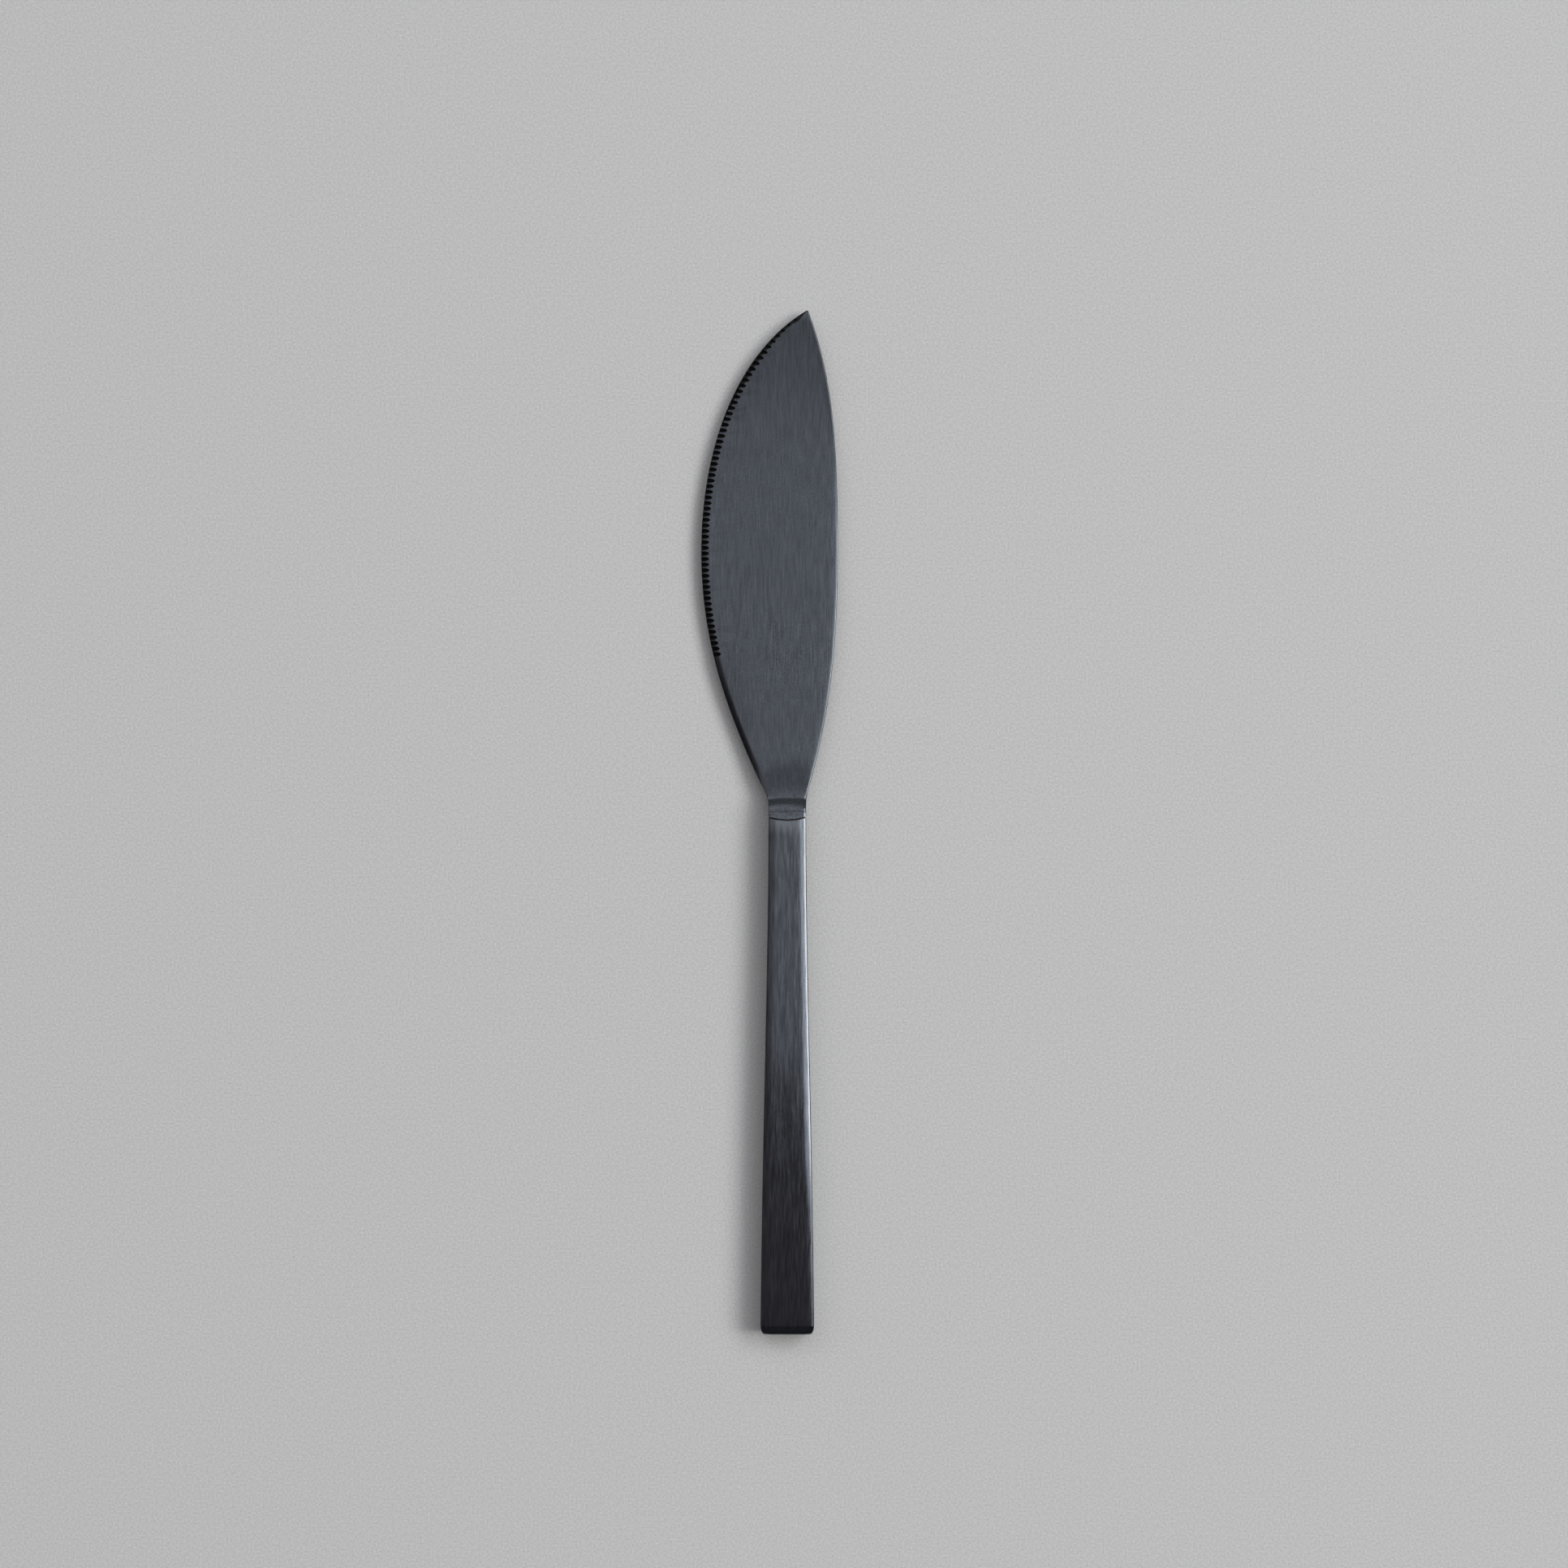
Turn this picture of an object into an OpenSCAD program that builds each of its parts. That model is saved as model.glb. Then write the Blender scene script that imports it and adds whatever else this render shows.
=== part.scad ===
/* [Blade outline] */
// Length of blade and bolster, from the middle of the handle joint to the tip
blade_len = 104.8; // [90:0.1:125]
// Distance from the joint to the widest place of the blade
belly_y = 55; // [45:0.5:65]
// Reach of the cutting edge from the handle's centre line, at the widest place
edge_reach = 17.7; // [12:0.1:22]
// Reach of the spine from the handle's centre line, at the widest place
spine_reach = 10.4; // [7.5:0.1:14]
// Sideways place of the tip, measured towards the spine
tip_x = 4.15; // [0:0.05:6]
// Width of the blunted tip
tip_w = 0.3; // [0.2:0.05:0.8]
// Angle between the cutting edge and the long axis at the tip
tip_edge_angle = 59.5; // [48:0.5:66]
// Angle between the spine and the long axis at the tip
tip_spine_angle = 20.5; // [12:0.5:32]
// Distance from the joint to the heel, where the blade runs into the neck
heel_y = 9; // [7.5:0.1:12]
// Reach of the cutting edge at the heel
heel_edge_reach = 6.2; // [5.2:0.1:8]
// Reach of the spine at the heel
heel_spine_reach = 5.1; // [4.4:0.1:7]
// Angle between the cutting edge and the long axis at the heel
heel_edge_angle = 24.5; // [12:0.5:34]
// Angle between the spine and the long axis at the heel
heel_spine_angle = 15; // [6:0.5:26]

/* [Blade thickness] */
// Thickness of the blade where it leaves the neck
blade_t = 1.8; // [1.5:0.05:2.6]
// Thickness of the blade at the tip
tip_t = 1; // [0.8:0.05:1.5]
// Thickness of the rim along the cutting edge
edge_t = 0.45; // [0.3:0.05:0.8]
// Width of the rounding along the cutting edge
edge_round_w = 1.4; // [1:0.1:3]
// Rounding of the spine
spine_r = 0.25; // [0.15:0.05:0.5]
// Drop of the blade's middle plane below the handle's
blade_drop = 0.5; // [0:0.05:0.9]

/* [Edge notches] */
// Distance from the joint to the first notch
notch_first_y = 34; // [27:0.1:50]
// Gap kept between the last notch and the tip
notch_tip_gap = 1.2; // [0.8:0.1:6]
// Distance between notches along the knife
notch_pitch = 1.155; // [0.95:0.005:2.4]
// Width of a notch
notch_w = 0.84; // [0.5:0.01:0.9]
// Length of a notch, from the rim to where its floor meets the face
notch_len = 1.6; // [1:0.05:2]
// Metal left under a notch at the rim
notch_floor = 0.06; // [0.03:0.01:0.2]
// Share of the edge's slant that the notches turn with
notch_turn = 0.3; // [0:0.05:0.6]
// Distance from the tip within which the notches grow shorter
notch_fade = 9; // [2:0.5:12]

/* [Bolster and tang] */
// Length of the bolster, from the joint to its front crease
bolster_len = 4.2; // [3:0.1:6]
// Length over which the blade rises to the bolster
rise_len = 14; // [10:0.1:20]
// Share of the rise that lies in front of the crease
rise_share = 0.45; // [0.3:0.01:0.7]
// Forward bow of the crease at the middle of the bolster
crease_bow = 0.35; // [0:0.05:0.8]
// Forward bow of the joint at the sides of the handle
joint_bow = 0.6; // [0:0.05:1.2]
// Thickness of the brazed joint
joint_gap = 0.25; // [0.1:0.01:0.4]
// Depth of the brazed joint below the handle's surface
joint_recess = 0.2; // [0.05:0.01:0.4]
// Play between the brazed ring and the pieces that it joins
joint_play = 0.02; // [0.005:0.005:0.04]
// Length of the spigot that centres the handle on the bolster
spigot_len = 3; // [2:0.1:6]
// Clearance round the spigot
spigot_clear = 0.1; // [0.05:0.01:0.25]
// Length of the tang behind the spigot
tang_len = 45; // [20:0.5:80]
// Width of the tang at the spigot
tang_w = 4.2; // [3:0.1:4.8]
// Width of the tang at its end
tang_end_w = 3; // [2:0.1:4]
// Thickness of the tang at the spigot
tang_t = 2.4; // [1.6:0.1:2.8]
// Thickness of the tang at its end
tang_end_t = 1.6; // [1:0.1:2.2]
// Radius of the grip notches in the tang's sides
tang_notch_r = 0.6; // [0.3:0.05:0.8]
// Number of grip notches on each side of the tang
tang_notches = 3; // [1:1:6]

/* [Handle] */
// Length of the handle, from the joint to the butt
handle_len = 105.5; // [90:0.5:125]
// Width of the handle at the joint
neck_w = 7.75; // [7.2:0.05:9]
// Thickness of the handle at the joint
neck_t = 6; // [5.2:0.1:7]
// Width of the handle at the butt
butt_w = 11.05; // [9:0.05:14]
// Thickness of the handle at the butt
butt_t = 6.2; // [5.7:0.1:8]
// Radius of the handle's long edges
corner_r = 0.3; // [0.2:0.05:0.8]
// Width of the soft crown beside each long edge
crown_w = 1.5; // [0.8:0.05:1.7]
// Fall of that crown
crown_drop = 0.24; // [0.04:0.01:0.3]
// Length of the rounding at the butt
butt_round_len = 2; // [1.6:0.1:4]
// Sideways and up-and-down depth of the rounding at the butt
butt_round = 0.9; // [0.4:0.05:1.4]
// Wall of the two handle shells
shell_wall = 1; // [0.7:0.05:1.3]
// Radius of the corners inside the shells
cavity_r = 0.3; // [0.15:0.05:0.5]

/* [Seam] */
// Width of the seam weld on the handle's sides
weld_w = 0.9; // [0.4:0.05:1.4]
// Depth of the seam weld
weld_depth = 0.6; // [0.3:0.05:0.65]
// Play between the seam weld and the sides of its groove
weld_play = 0.01; // [0.005:0.005:0.03]

/* [Hidden] */

// Coated steel, the shaded joint, and the cement inside
STEEL = [0.29, 0.31, 0.33];
WELD = [0.24, 0.25, 0.27];
BRAZE = [0.1, 0.1, 0.11];
CEMENT = [0.62, 0.56, 0.48];

// How full the outline's curves are, as shares of the stretch that each one spans
TIP_PULL = 0.31;
EDGE_BELLY_PULL = 0.47;
SPINE_BELLY_PULL = 0.42;
REAR_PULL = 0.39;
HEEL_PULL = 0.33;
NECK_PULL = 0.45;
FLARE_NECK_PULL = 0.29;
FLARE_BUTT_PULL = 0.47;
// Half of the handle's widening for each millimetre of length, at the butt
FLARE_BUTT_SLOPE = 0.01;

// Steps of the lofts: along the blade, its tip, the rise, the bolster, the handle and the butt,
// and round a section: its corners, its crowns and its flat face
BLADE_STEPS = 30;
TIP_STEPS = 6;
RISE_STEPS = 10;
BOLSTER_STEPS = 8;
HANDLE_STEPS = 18;
BUTT_STEPS = 5;
CORNER_STEPS = 4;
CROWN_STEPS = 2;
FACE_STEPS = 4;

// Corner of the rim along the cutting edge, and the least half height of the spine's rim
RIM_W = 0.08;
RIM_H = 0.02;
RIM_LEAST = 0.12;
// Soft crown beside the rounded spine, and the least fall of any crown
SPINE_CROWN_W = 1.6;
SPINE_CROWN_DROP = 0.05;
LEAST_DROP = 0.001;
// Share of the width that the shoulders may take near the tip, and the length drawn in finer steps
SHOULDER_SHARE = 0.9;
TIP_LEN = 6;
// Share of its length that a notch at the very tip loses
NOTCH_FADE_SHARE = 0.8;
// Curve of the rise in front of the crease, and of the tighter fillet that is mixed into it
RISE_POWER = 1.4;
FILLET_POWER = 5;
FILLET_SHARE = 0.3;
// Level share of the bolster, and the curve of its front
PLATEAU_SHARE = 0.35;
FRONT_POWER = 1.8;
// Share of the bolster whose sides run straight
STRAIGHT_SHARE = 0.6;
TANG_R = 0.25;
TANG_CROWN = 0.012;
// Overshoot of cutting shapes, and the step over which the edge's slant is read
CUT_OVER = 1;
SLANT_STEP = 0.4;

// Places along the knife
rise_end_y = bolster_len + rise_len;
neck_y = bolster_len * STRAIGHT_SHARE;
butt_start = handle_len - butt_round_len;

// The handle thickens towards the butt, so its middle plane leans when it lies on its flat side
thickening = (butt_t - neck_t) / 2 / butt_start;
lean = atan(thickening);

function mix(a, b, t) = a + (b - a) * t;
function clamp01(t) = max(0, min(1, t));
function smooth(t) = let (c = clamp01(t)) c * c * (3 - 2 * c);

// Cubic curve through the ends of four control points, and its sideways place at a given length
function curve(p, t) =
    pow(1 - t, 3) * p[0] + 3 * pow(1 - t, 2) * t * p[1] + 3 * (1 - t) * t * t * p[2] + t * t * t * p[3];
function curve_t(p, y, low = 0, high = 1, left = 30) =
    let (mid = (low + high) / 2)
    left == 0 ? mid
    : curve(p, mid)[1] > y ? curve_t(p, y, mid, high, left - 1)
    : curve_t(p, y, low, mid, left - 1);
function curve_x(p, y) = curve(p, curve_t(p, y))[0];

// One side of the blade's outline, with reach counted away from the centre line
function front_curve(start_x, start_angle, reach, belly_pull) =
    let (span = blade_len - belly_y, pull = TIP_PULL * span)
    [
        [start_x, blade_len],
        [start_x + pull * sin(start_angle), blade_len - pull * cos(start_angle)],
        [reach, belly_y + belly_pull * span],
        [reach, belly_y]
    ];
function rear_curve(reach, heel_reach, heel_angle) =
    let (span = belly_y - heel_y, pull = HEEL_PULL * span)
    [
        [reach, belly_y],
        [reach, belly_y - REAR_PULL * span],
        [heel_reach + pull * sin(heel_angle), heel_y + pull * cos(heel_angle)],
        [heel_reach, heel_y]
    ];
function neck_curve(heel_reach, heel_angle) =
    let (span = heel_y - neck_y, pull = NECK_PULL * span)
    [
        [heel_reach, heel_y],
        [heel_reach - pull * sin(heel_angle), heel_y - pull * cos(heel_angle)],
        [neck_w / 2, neck_y + pull],
        [neck_w / 2, neck_y]
    ];
function side_reach(y, start_x, start_angle, reach, belly_pull, heel_reach, heel_angle) =
    y >= blade_len ? start_x
    : y >= belly_y ? curve_x(front_curve(start_x, start_angle, reach, belly_pull), y)
    : y >= heel_y ? curve_x(rear_curve(reach, heel_reach, heel_angle), y)
    : y > neck_y ? curve_x(neck_curve(heel_reach, heel_angle), y)
    : neck_w / 2;
function edge_x(y) =
    -side_reach(
        y, tip_w / 2 - tip_x, tip_edge_angle,
        edge_reach, EDGE_BELLY_PULL, heel_edge_reach, heel_edge_angle
    );
function spine_x(y) =
    side_reach(
        y, tip_w / 2 + tip_x, tip_spine_angle,
        spine_reach, SPINE_BELLY_PULL, heel_spine_reach, heel_spine_angle
    );

// A rounded shoulder from the rim to the flat face: [distance from the rim, height] points.
// A crown falls by crown_fall over crown_wide, and a corner of rx by rz turns down to the rim.
function shoulder(high, crown_wide, crown_fall, rx, rz) =
    let (
        start = atan(2 * crown_fall / crown_wide * rx / rz),
        corner_z = high - crown_fall - rz * cos(start),
        crown_x = rx * (1 - sin(start))
    )
    concat(
        [
            for (i = [0:CORNER_STEPS])
                let (turn = mix(90, start, i / CORNER_STEPS))
                [rx * (1 - sin(turn)), corner_z + rz * cos(turn)]
        ],
        [
            for (i = [1:CROWN_STEPS])
                let (t = 1 - i / CROWN_STEPS)
                [crown_x + crown_wide * (1 - t), high - crown_fall * t * t]
        ]
    );

// The upper half of a section between two reaches, from left to right: [x, height] points
function upper_half(left_x, right_x, left_shoulder, right_shoulder) =
    let (
        left = [for (p = left_shoulder) [left_x + p[0], p[1]]],
        right = [
            for (i = [len(right_shoulder) - 1:-1:0])
                [right_x - right_shoulder[i][0], right_shoulder[i][1]]
        ],
        face = [for (i = [1:FACE_STEPS - 1]) mix(left[len(left) - 1], right[0], i / FACE_STEPS)]
    )
    concat(left, face, right);

// Half thickness of the handle without its butt rounding, and half its width
function handle_half_t(s) = neck_t / 2 + thickening * s;
function flare_curve() =
    [
        [neck_w / 2, 0],
        [neck_w / 2, -FLARE_NECK_PULL * handle_len],
        [butt_w / 2 - FLARE_BUTT_SLOPE * FLARE_BUTT_PULL * handle_len, (FLARE_BUTT_PULL - 1) * handle_len],
        [butt_w / 2, -handle_len]
    ];
function handle_half_w(s) = s <= 0 ? neck_w / 2 : curve_x(flare_curve(), -s);

// Upper half of a handle section of the given half sizes, with its long edges rounded by radius
function handle_upper(half_w, half_t, radius) =
    let (side = shoulder(half_t, crown_w, crown_drop, radius, radius))
    upper_half(-half_w, half_w, side, side);

// The joint is bowed: its sides lie further forward than its middle
function joint_y(x) = joint_bow * pow(x / (neck_w / 2), 2);

// Half thickness of the blade's flat face and of the rise to the bolster, and the height of its middle
function blade_half_t(y) = mix(blade_t, tip_t, clamp01((y - rise_end_y) / (blade_len - rise_end_y))) / 2;
function front_rise(near) = rise_share * mix(pow(near, RISE_POWER), pow(near, FILLET_POWER), FILLET_SHARE);
function down_front(y) = clamp01((y / bolster_len - PLATEAU_SHARE) / (1 - PLATEAU_SHARE));
function rise(y) =
    y >= rise_end_y ? 0
    : y > bolster_len ? front_rise((rise_end_y - y) / rise_len)
    : 1 - (1 - rise_share) * pow(down_front(y), FRONT_POWER);
function face_half_t(y) = mix(blade_half_t(y), neck_t / 2, rise(y));
function blade_middle(y) = -blade_drop * (1 - rise(y));

// How far a station belongs to the bolster
function bolster_share(y) = 1 - smooth((y - bolster_len) / rise_len);

// Near the tip the blade is narrower than its shoulders, which shrink with it
function tip_share(y) =
    min(1, SHOULDER_SHARE * (spine_x(y) - edge_x(y)) / (edge_round_w + RIM_W + SPINE_CROWN_W + spine_r));

// Upper half of the blade's section at a station: its edge is rounded, and turns into the spine's corner
// round the bolster
function blade_upper(y) =
    let (
        own = bolster_share(y),
        small = tip_share(y),
        high = mix(edge_t / 2, face_half_t(y), small),
        edge_drop = max(LEAST_DROP, high - edge_t / 2 - RIM_H),
        spine_rz = min(spine_r, high - SPINE_CROWN_DROP * small - RIM_LEAST),
        edge = [edge_round_w * small, edge_drop, RIM_W * small, RIM_H],
        spine = [SPINE_CROWN_W * small, SPINE_CROWN_DROP * small, spine_r * small, spine_rz],
        turned = mix(edge, spine, own)
    )
    upper_half(
        edge_x(y),
        spine_x(y),
        shoulder(high, turned[0], turned[1], turned[2], turned[3]),
        shoulder(high, spine[0], spine[1], spine[2], spine[3])
    );

// A closed ring round the knife from an upper half, with the lower half as its mirror image.
// Each point has its place along the knife and the height of the middle that it is mirrored about.
function ring(upper, places, middles) =
    concat(
        [for (i = [0:len(upper) - 1]) [upper[i][0], places[i], middles[i] + upper[i][1]]],
        [for (i = [len(upper) - 1:-1:0]) [upper[i][0], places[i], middles[i] - upper[i][1]]]
    );
function flat_ring(upper, y) = ring(upper, [for (p = upper) y], [for (p = upper) 0]);
function bowed_ring(upper, shift) =
    ring(upper, [for (p = upper) joint_y(p[0]) + shift], [for (p = upper) 0]);

// The crease bows forward at the middle, so a station's heights are read a little behind it there
function blade_ring(y) =
    let (
        upper = blade_upper(y),
        half_w = (spine_x(y) - edge_x(y)) / 2,
        middle = (spine_x(y) + edge_x(y)) / 2,
        bow = crease_bow * bolster_share(y) * clamp01(y / bolster_len),
        read_at = [for (p = upper) y - bow * (1 - pow((p[0] - middle) / half_w, 2))]
    )
    ring(
        [
            for (i = [0:len(upper) - 1])
                [upper[i][0], upper[i][1] + face_half_t(read_at[i]) - face_half_t(y)]
        ],
        [for (p = upper) y],
        [for (r = read_at) blade_middle(r)]
    );

// Stations along the blade, from the tip to just in front of the joint
function blade_stations() =
    concat(
        [for (i = [0:TIP_STEPS - 1]) blade_len - TIP_LEN * pow(i / TIP_STEPS, 2)],
        [for (i = [0:BLADE_STEPS - 1]) mix(blade_len - TIP_LEN, rise_end_y, i / BLADE_STEPS)],
        [for (i = [0:RISE_STEPS - 1]) mix(rise_end_y, bolster_len, i / RISE_STEPS)],
        [for (i = [0:BOLSTER_STEPS - 1]) mix(bolster_len, joint_bow + joint_gap, i / BOLSTER_STEPS)]
    );

// Handle stations: [distance behind the joint where the butt rounding starts, turn round the butt]
function handle_stations() =
    concat(
        [[0, 0]],
        [for (i = [0:HANDLE_STEPS]) [mix(spigot_len, butt_start, i / HANDLE_STEPS), 0]],
        [for (i = [1:BUTT_STEPS]) [butt_start, 90 * i / BUTT_STEPS]]
    );
stations = handle_stations();
last = len(stations) - 1;

// Place and half sizes of a handle station, moved in from the surface by inset
function station_y(k, inset) = -stations[k][0] - (butt_round_len - inset) * sin(stations[k][1]);
function station_half_w(k, inset) =
    handle_half_w(stations[k][0]) - inset - butt_round * (1 - cos(stations[k][1]));
function station_half_t(k, inset) =
    handle_half_t(stations[k][0]) - inset - butt_round * (1 - cos(stations[k][1]));
function place_y(k, inset, x) = k == 0 ? joint_y(x) - joint_gap / 2 : station_y(k, inset);
function cavity_upper(k) =
    handle_upper(station_half_w(k, shell_wall), station_half_t(k, shell_wall), cavity_r);

// Faces between closed rings of count points each, and the strips that close a ring at either end
function side_faces(rings, count) =
    [
        for (k = [0:rings - 2], i = [0:count - 1])
            let (
                a = k * count + i,
                b = k * count + (i + 1) % count
            )
            each [[a, b, b + count], [a, b + count, a + count]]
    ];
function front_cap(count) =
    [
        for (i = [0:count / 2 - 2])
            each [[i, count - 1 - i, count - 2 - i], [i, count - 2 - i, i + 1]]
    ];
function rear_cap(rings, count) =
    [for (f = front_cap(count)) [for (i = [2:-1:0]) f[i] + (rings - 1) * count]];

module loft(rings) {
    count = len(rings[0]);
    polyhedron(
        points = [for (r = rings) each r],
        faces = concat(side_faces(len(rings), count), front_cap(count), rear_cap(len(rings), count))
    );
}

// The knife is drawn about its middle plane, then laid on the flat side of its handle
module laid_flat() {
    translate([0, 0, neck_t / 2 * cos(lean)])
        rotate([-lean, 0, 0])
            children();
}

function tang_upper(w, t) =
    let (side = shoulder(t / 2, TANG_R, TANG_CROWN, TANG_R, TANG_R))
    upper_half(-w / 2, w / 2, side, side);

function tang_end_y() = -spigot_len - tang_len;

// Tang from the spigot to its end, with half-round grip notches
module tang_cuts() {
    for (i = [1:tang_notches], side = [-1, 1]) {
        t = i / (tang_notches + 1);
        translate([side * mix(tang_w, tang_end_w, t) / 2, mix(-spigot_len, tang_end_y(), t), 0])
            cylinder(r = tang_notch_r, h = tang_t + CUT_OVER, center = true, $fn = 24);
    }
}

function tang_rings() =
    [
        flat_ring(tang_upper(tang_w, tang_t), -spigot_len),
        flat_ring(tang_upper(tang_end_w, tang_end_t), tang_end_y())
    ];

function spigot_upper(clear) =
    handle_upper(neck_w / 2 - shell_wall - clear, neck_t / 2 - shell_wall - clear, cavity_r);

// One notch: a round groove whose floor rises from the rim to the face, shorter close to the tip
module notch(y) {
    slant = atan((edge_x(y + SLANT_STEP / 2) - edge_x(y - SLANT_STEP / 2)) / SLANT_STEP);
    slope = atan((face_half_t(y) + edge_t / 2 - notch_floor) / notch_len);
    axis_z = -edge_t / 2 + notch_floor + notch_w / 2 / cos(slope);
    less = notch_len * NOTCH_FADE_SHARE * (1 - clamp01((blade_len - y) / notch_fade));
    translate([edge_x(y) - less, y, blade_middle(y) + axis_z])
        rotate([0, 0, -notch_turn * slant])
            rotate([0, 90 - slope, 0])
                translate([0, 0, -CUT_OVER])
                    cylinder(d = notch_w, h = CUT_OVER + notch_len / cos(slope) + notch_w, $fn = 24);
}

module blade() {
    last_notch_y = blade_len - notch_tip_gap;
    color(STEEL)
        laid_flat()
            difference() {
                loft(concat(
                    [for (y = blade_stations()) blade_ring(y)],
                    [bowed_ring(blade_upper(0), joint_gap / 2)],
                    [bowed_ring(spigot_upper(spigot_clear), joint_gap / 2)],
                    [flat_ring(spigot_upper(spigot_clear), -spigot_len)],
                    tang_rings()
                ));
                for (y = [notch_first_y:notch_pitch:last_notch_y])
                    notch(y);
                tang_cuts();
            }
}

// Outline points of a shell's section: the foot of the weld groove, its lip, and the surface between
function shell_outer(k) =
    let (
        w = station_half_w(k, 0),
        foot = w - weld_depth,
        upper = handle_upper(w, station_half_t(k, 0), corner_r)
    )
    concat(
        [[-foot, place_y(k, weld_depth, foot), 0], [-w, place_y(k, 0, w), weld_w / 2]],
        [for (p = upper) [p[0], place_y(k, 0, p[0]), p[1]]],
        [[w, place_y(k, 0, w), weld_w / 2], [foot, place_y(k, weld_depth, foot), 0]]
    );
function shell_inner(k) =
    let (
        w = station_half_w(k, shell_wall),
        y = place_y(k, shell_wall, w),
        upper = cavity_upper(k),
        side_z = upper[0][1] / 2
    )
    concat(
        [[-w, y, 0], [-w, y, side_z]],
        [for (p = upper) [p[0], place_y(k, shell_wall, p[0]), p[1]]],
        [[w, y, side_z], [w, y, 0]]
    );

// Half of the hollow handle above the middle plane
module half_shell() {
    outer = [for (k = [0:last]) shell_outer(k)];
    inner = [for (k = [0:last]) shell_inner(k)];
    count = len(outer[0]);
    base = len(outer) * count;
    butt = last * count;
    skin = [
        for (k = [0:last - 1], i = [0:count - 2])
            let (a = k * count + i)
            each [[a, a + 1, a + count + 1], [a, a + count + 1, a + count]]
    ];
    lining = [for (f = skin) [base + f[2], base + f[1], base + f[0]]];
    mouth = [
        for (i = [0:count - 2])
            each [[base + i, base + i + 1, i + 1], [base + i, i + 1, i]]
    ];
    seats = [
        for (k = [0:last - 1])
            let (
                a = k * count,
                b = a + count - 1
            )
            each [
                [a, a + count, base + a + count],
                [a, base + a + count, base + a],
                [base + b, base + b + count, b + count],
                [base + b, b + count, b]
            ]
    ];
    cap = concat(
        [[butt, butt + 1, butt + count - 2], [butt, butt + count - 2, butt + count - 1]],
        [for (i = [2:count - 3]) [butt + 1, butt + i, butt + i + 1]]
    );
    cavity_end = [for (f = cap) [base + f[2], base + f[1], base + f[0]]];
    butt_seat = [
        [butt, butt + count - 1, base + butt + count - 1],
        [butt, base + butt + count - 1, base + butt]
    ];
    polyhedron(
        points = concat([for (r = outer) each r], [for (r = inner) each r]),
        faces = concat(skin, lining, mouth, seats, cap, cavity_end, butt_seat)
    );
}

module handle_upper_shell() {
    color(STEEL)
        laid_flat()
            half_shell();
}

module handle_lower_shell() {
    color(STEEL)
        laid_flat()
            mirror([0, 0, 1])
                half_shell();
}

// Three corners of the weld bead beside a station
function bead_ring(k, side) =
    let (
        w = station_half_w(k, 0),
        depth = weld_depth - weld_play,
        half = weld_w / 2 - weld_play,
        y = place_y(k, 0, w)
    )
    [
        [side * w, y, -half],
        [side * w, y, half],
        [side * (w - depth), place_y(k, depth, w - depth), 0]
    ];

// The bead runs down one side, across the butt and back up the other side
module handle_seam_weld() {
    beads = concat(
        [for (k = [0:last]) bead_ring(k, -1)],
        [for (k = [last:-1:0]) bead_ring(k, 1)]
    );
    end = (len(beads) - 1) * 3;
    color(WELD)
        laid_flat()
            polyhedron(
                points = [for (b = beads) each b],
                faces = concat(
                    side_faces(len(beads), 3),
                    [[2, 1, 0], [end, end + 1, end + 2]]
                )
            );
}

// Thin ring between the bolster and the handle's mouth, round the spigot
module bolster_braze() {
    outside = handle_upper(neck_w / 2 - joint_recess, neck_t / 2 - joint_recess, corner_r);
    inside = spigot_upper(spigot_clear - joint_play);
    reach = joint_gap / 2 - joint_play;
    rings = [
        bowed_ring(inside, reach),
        bowed_ring(outside, reach),
        bowed_ring(outside, -reach),
        bowed_ring(inside, -reach),
        bowed_ring(inside, reach)
    ];
    count = len(rings[0]);
    faces = side_faces(len(rings), count);
    color(BRAZE)
        laid_flat()
            polyhedron(
                points = [for (i = [0:3]) each rings[i]],
                faces = [for (f = faces) [for (i = f) i % (4 * count)]]
            );
}

// Cement that fills the shells behind the spigot and grips the tang
module handle_filler() {
    color(CEMENT)
        laid_flat()
            difference() {
                loft([for (k = [1:last]) flat_ring(cavity_upper(k), station_y(k, shell_wall))]);
                difference() {
                    loft(tang_rings());
                    tang_cuts();
                }
            }
}

blade();
handle_upper_shell();
handle_lower_shell();
handle_seam_weld();
bolster_braze();
handle_filler();
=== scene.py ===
import math

import bmesh
import bpy
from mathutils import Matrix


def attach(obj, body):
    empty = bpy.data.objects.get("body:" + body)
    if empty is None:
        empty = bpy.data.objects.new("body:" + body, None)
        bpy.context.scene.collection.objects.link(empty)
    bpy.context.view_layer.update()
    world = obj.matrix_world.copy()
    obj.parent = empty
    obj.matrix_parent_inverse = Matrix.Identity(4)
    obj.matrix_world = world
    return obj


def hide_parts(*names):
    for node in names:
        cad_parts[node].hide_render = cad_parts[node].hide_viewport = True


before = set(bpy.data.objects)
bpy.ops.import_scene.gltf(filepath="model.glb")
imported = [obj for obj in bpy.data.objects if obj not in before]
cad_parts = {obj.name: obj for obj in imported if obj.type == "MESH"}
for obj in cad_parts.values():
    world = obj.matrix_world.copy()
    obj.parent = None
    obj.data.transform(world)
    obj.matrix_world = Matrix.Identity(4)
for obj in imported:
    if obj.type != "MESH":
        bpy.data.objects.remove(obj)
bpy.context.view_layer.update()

MM = 0.001
TOUCH = 0.002 * MM

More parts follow.
